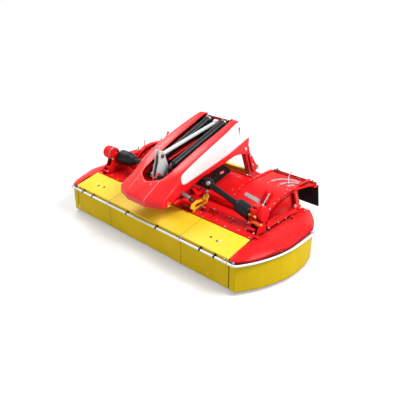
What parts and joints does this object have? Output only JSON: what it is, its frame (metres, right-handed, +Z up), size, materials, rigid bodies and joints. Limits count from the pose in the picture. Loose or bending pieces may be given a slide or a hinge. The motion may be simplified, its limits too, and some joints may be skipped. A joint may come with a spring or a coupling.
{
  "type": "disc mower",
  "caption": "Front-mounted disc mower with tine conditioner, hinged front flaps and side guards on cloth skirts, carried from above by a covered arm frame and rear headstock.",
  "frame": {"origin": "on the ground under the middle of the bounding box", "axes": "+X across the machine, +Y rearwards to the tractor's linkage, so the cutting front faces -Y, +Z up"},
  "size_m": [3.7668, 2.18, 1.514],
  "materials": {
    "yellow_paint": "bright yellow gloss paint",
    "red_paint": "bright red gloss paint",
    "white_rail": "white paint",
    "skirt_cloth": "mustard coated cloth",
    "black_plastic": "black moulded plastic",
    "black_paint": "black paint",
    "black_rubber": "black rubber sheet",
    "bare_steel": "plain steel",
    "zinc_steel": "zinc plated steel",
    "blade_steel": "worn bare steel"
  },
  "bodies": {
    "frame": {"anchor_bar": "red_paint", "arm_covers": "red_paint", "bell_crank": "zinc_steel", "carrier_arms": "red_paint", "centre_gearbox": "red_paint", "crop_pan": "red_paint", "cross_beam": "red_paint", "cross_tube": "yellow_paint", "cutter_bar": "red_paint", "deck_plate": "red_paint", "drive_cover": "red_paint", "front_cover_centre": "yellow_paint", "front_rail_centre": "white_rail", "front_skirt_centre": "skirt_cloth", "gearbox_left": "red_paint", "gearbox_right": "red_paint", "guard_arms": "red_paint", "headstock": "red_paint", "hood_centre": "red_paint", "hood_sides": "red_paint", "lock_bracket": "yellow_paint", "nose_cover": "red_paint", "parking_stands": "black_paint", "pull_arms": "red_paint", "rear_curtains": "black_rubber", "relief_springs": "black_paint", "shaft_guards": "black_plastic", "side_walls": "red_paint", "skid_shoes": "blade_steel", "stop_pin": "zinc_steel", "top_rod": "zinc_steel"},
    "rotor": {"conditioner_rotor": "red_paint"},
    "pto_input": {"pto_stub": "bare_steel"},
    "flap_left": {"front_cover_left": "yellow_paint", "front_skirt_left": "skirt_cloth", "front_rail_left": "white_rail"},
    "flap_right": {"front_cover_right": "yellow_paint", "front_skirt_right": "skirt_cloth", "front_rail_right": "white_rail"},
    "guard_left": {"side_guard_left": "red_paint", "side_skirt_left": "skirt_cloth", "side_rail_left": "white_rail"},
    "guard_right": {"side_guard_right": "red_paint", "side_skirt_right": "skirt_cloth", "side_rail_right": "white_rail"},
    "swath_left": {"swath_board_left": "red_paint"},
    "swath_right": {"swath_board_right": "red_paint"},
    "disc_1_body": {"disc_1": "blade_steel"},
    "disc_2_body": {"disc_2": "blade_steel"},
    "disc_3_body": {"disc_3": "blade_steel"},
    "disc_4_body": {"disc_4": "blade_steel"},
    "disc_5_body": {"disc_5": "blade_steel"},
    "disc_6_body": {"disc_6": "blade_steel"},
    "disc_7_body": {"disc_7": "blade_steel"}
  },
  "joints": [
    {"name": "rotor_spin", "type": "hinge", "parent": "frame", "child": "rotor", "pos_m": [0, 0.25, 0.4], "axis": [1, 0, 0], "continuous": true},
    {"name": "pto_spin", "type": "hinge", "parent": "frame", "child": "pto_input", "pos_m": [0, -0.034, 0.822], "axis": [0, 1, 0], "continuous": true},
    {"name": "disc_1_spin", "type": "hinge", "parent": "frame", "child": "disc_1_body", "pos_m": [-1.29, -0.42, 0.09], "axis": [0, 0, 1], "continuous": true},
    {"name": "disc_2_spin", "type": "hinge", "parent": "frame", "child": "disc_2_body", "pos_m": [-0.86, -0.42, 0.09], "axis": [0, 0, 1], "continuous": true},
    {"name": "disc_3_spin", "type": "hinge", "parent": "frame", "child": "disc_3_body", "pos_m": [-0.43, -0.42, 0.09], "axis": [0, 0, 1], "continuous": true},
    {"name": "disc_4_spin", "type": "hinge", "parent": "frame", "child": "disc_4_body", "pos_m": [0, -0.42, 0.09], "axis": [0, 0, 1], "continuous": true},
    {"name": "disc_5_spin", "type": "hinge", "parent": "frame", "child": "disc_5_body", "pos_m": [0.43, -0.42, 0.09], "axis": [0, 0, 1], "continuous": true},
    {"name": "disc_6_spin", "type": "hinge", "parent": "frame", "child": "disc_6_body", "pos_m": [0.86, -0.42, 0.09], "axis": [0, 0, 1], "continuous": true},
    {"name": "disc_7_spin", "type": "hinge", "parent": "frame", "child": "disc_7_body", "pos_m": [1.29, -0.42, 0.09], "axis": [0, 0, 1], "continuous": true},
    {"name": "flap_left_hinge", "type": "hinge", "parent": "frame", "child": "flap_left", "pos_m": [-1.1, -0.574, 0.559], "axis": [-1, 0, 0], "range_deg": [0, 85]},
    {"name": "guard_left_hinge", "type": "hinge", "parent": "frame", "child": "guard_left", "pos_m": [-1.508, -0.115, 0.56], "axis": [0, 1, 0], "range_deg": [0, 90]},
    {"name": "swath_left_hinge", "type": "hinge", "parent": "frame", "child": "swath_left", "pos_m": [-1.262, 0.53, 0.447], "axis": [0, 0, -1], "range_deg": [-13, 25]},
    {"name": "flap_right_hinge", "type": "hinge", "parent": "frame", "child": "flap_right", "pos_m": [1.1, -0.574, 0.559], "axis": [-1, 0, 0], "range_deg": [0, 85]},
    {"name": "guard_right_hinge", "type": "hinge", "parent": "frame", "child": "guard_right", "pos_m": [1.508, -0.115, 0.56], "axis": [0, -1, 0], "range_deg": [0, 90]},
    {"name": "swath_right_hinge", "type": "hinge", "parent": "frame", "child": "swath_right", "pos_m": [1.262, 0.53, 0.447], "axis": [0, 0, 1], "range_deg": [-13, 25]}
  ],
  "couplings": [
    {"joint": "pto_spin", "follows": "rotor_spin", "ratio": 1},
    {"joint": "disc_1_spin", "follows": "rotor_spin", "ratio": 3.3333},
    {"joint": "disc_2_spin", "follows": "rotor_spin", "ratio": 3.3333},
    {"joint": "disc_3_spin", "follows": "rotor_spin", "ratio": 3.3333},
    {"joint": "disc_4_spin", "follows": "rotor_spin", "ratio": -3.3333},
    {"joint": "disc_5_spin", "follows": "rotor_spin", "ratio": -3.3333},
    {"joint": "disc_6_spin", "follows": "rotor_spin", "ratio": -3.3333},
    {"joint": "disc_7_spin", "follows": "rotor_spin", "ratio": -3.3333}
  ]
}
